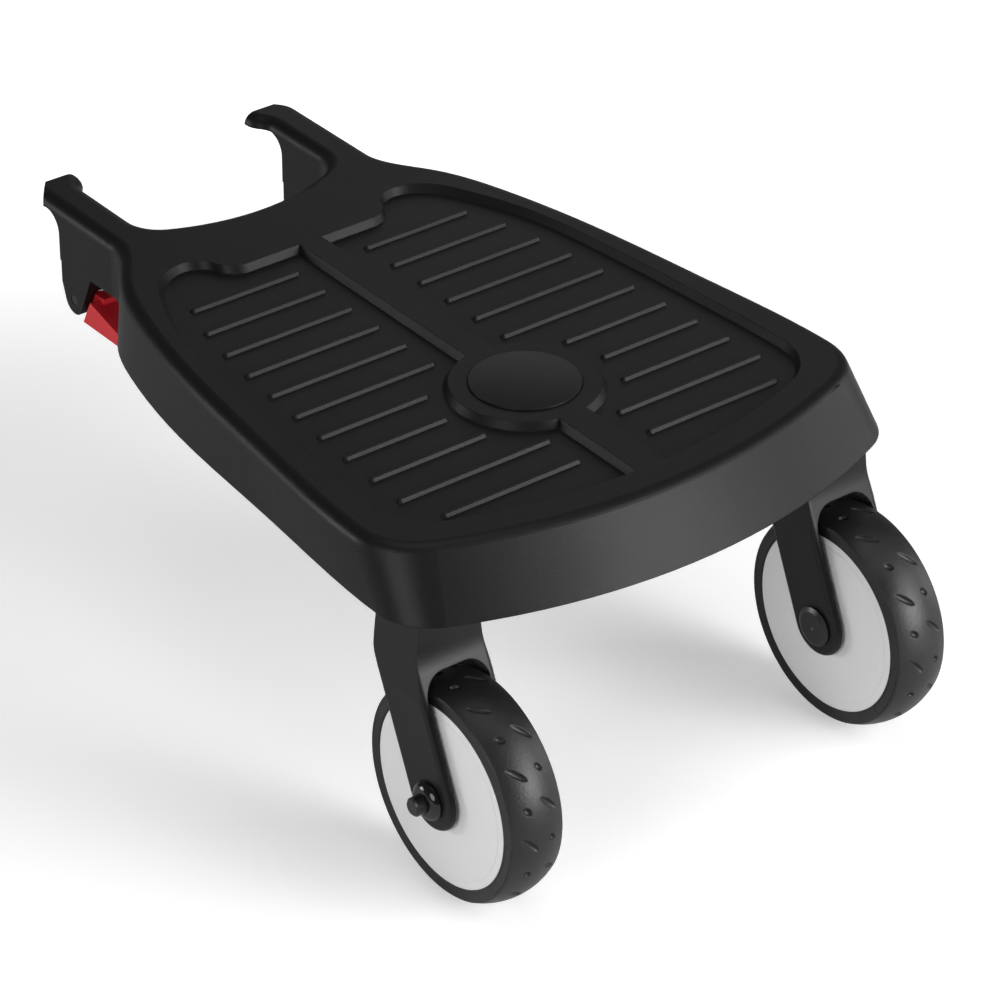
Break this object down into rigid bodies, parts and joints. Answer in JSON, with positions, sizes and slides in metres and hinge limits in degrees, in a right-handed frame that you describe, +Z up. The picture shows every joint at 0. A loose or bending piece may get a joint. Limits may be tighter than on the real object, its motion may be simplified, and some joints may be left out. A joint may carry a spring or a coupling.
{
  "type": "buggy board",
  "caption": "Ride-on buggy board: ribbed plastic step with two hook arms, squeeze levers that lock the hooks, and swivelling caster wheels.",
  "frame": {"origin": "on the floor under the middle of the bounding box", "axes": "+X across the board, +Y towards the hook arms, +Z up"},
  "size_m": [0.314, 0.498, 0.1921],
  "materials": {
    "deck_plastic": "fine grain",
    "badge_plastic": "satin",
    "housing_plastic": "fine grain",
    "lever_red": "satin",
    "fork_plastic": "fine grain",
    "bush_plastic": "smooth",
    "tyre_rubber": "semi-matte",
    "wheel_white": "satin",
    "nut_black": "gloss",
    "plain_steel": "zinc plated"
  },
  "bodies": {
    "board": {"deck": "deck_plastic", "centre_badge": "badge_plastic", "left_latch_housing": "housing_plastic", "left_lever_pin": "nut_black", "left_lever_spring": "plain_steel", "left_housing_screw": "plain_steel", "left_stem_bush": "bush_plastic", "left_thrust_washer": "bush_plastic", "right_latch_housing": "housing_plastic", "right_lever_pin": "nut_black", "right_lever_spring": "plain_steel", "right_housing_screw": "plain_steel", "right_stem_bush": "bush_plastic", "right_thrust_washer": "bush_plastic"},
    "left_caster": {"left_caster_fork": "fork_plastic", "left_swivel_stem": "plain_steel", "left_stem_clip": "plain_steel", "left_axle": "nut_black", "left_axle_nut": "nut_black", "left_axle_washers": "plain_steel"},
    "left_wheel": {"left_tyre": "tyre_rubber", "left_wheel_hub": "wheel_white", "left_wheel_disc_outer": "wheel_white", "left_wheel_disc_inner": "wheel_white", "left_hub_bushes": "bush_plastic"},
    "left_lever": {"left_release_lever": "lever_red"},
    "right_caster": {"right_caster_fork": "fork_plastic", "right_swivel_stem": "plain_steel", "right_stem_clip": "plain_steel", "right_axle": "nut_black", "right_axle_nut": "nut_black", "right_axle_washers": "plain_steel"},
    "right_wheel": {"right_tyre": "tyre_rubber", "right_wheel_hub": "wheel_white", "right_wheel_disc_outer": "wheel_white", "right_wheel_disc_inner": "wheel_white", "right_hub_bushes": "bush_plastic"},
    "right_lever": {"right_release_lever": "lever_red"}
  },
  "joints": [
    {"name": "left_swivel", "type": "hinge", "parent": "board", "child": "left_caster", "pos_m": [-0.124, -0.159, 0.154], "axis": [0, 0, 1], "continuous": true},
    {"name": "left_wheel_spin", "type": "hinge", "parent": "left_caster", "child": "left_wheel", "pos_m": [-0.124, -0.189, 0.06], "axis": [1, 0, 0], "continuous": true},
    {"name": "left_lever_squeeze", "type": "hinge", "parent": "board", "child": "left_lever", "pos_m": [-0.07375, 0.211, 0.136], "axis": [1, 0, 0], "range_deg": [-15, 0], "stiffness_Nm_per_rad": 0.4, "springref_deg": 8.59, "deforming": ["left_lever_spring"]},
    {"name": "right_swivel", "type": "hinge", "parent": "board", "child": "right_caster", "pos_m": [0.124, -0.159, 0.154], "axis": [0, 0, 1], "continuous": true},
    {"name": "right_wheel_spin", "type": "hinge", "parent": "right_caster", "child": "right_wheel", "pos_m": [0.124, -0.189, 0.06], "axis": [1, 0, 0], "continuous": true},
    {"name": "right_lever_squeeze", "type": "hinge", "parent": "board", "child": "right_lever", "pos_m": [0.07375, 0.211, 0.136], "axis": [1, 0, 0], "range_deg": [-15, 0], "stiffness_Nm_per_rad": 0.4, "springref_deg": 8.59, "deforming": ["right_lever_spring"]}
  ]
}
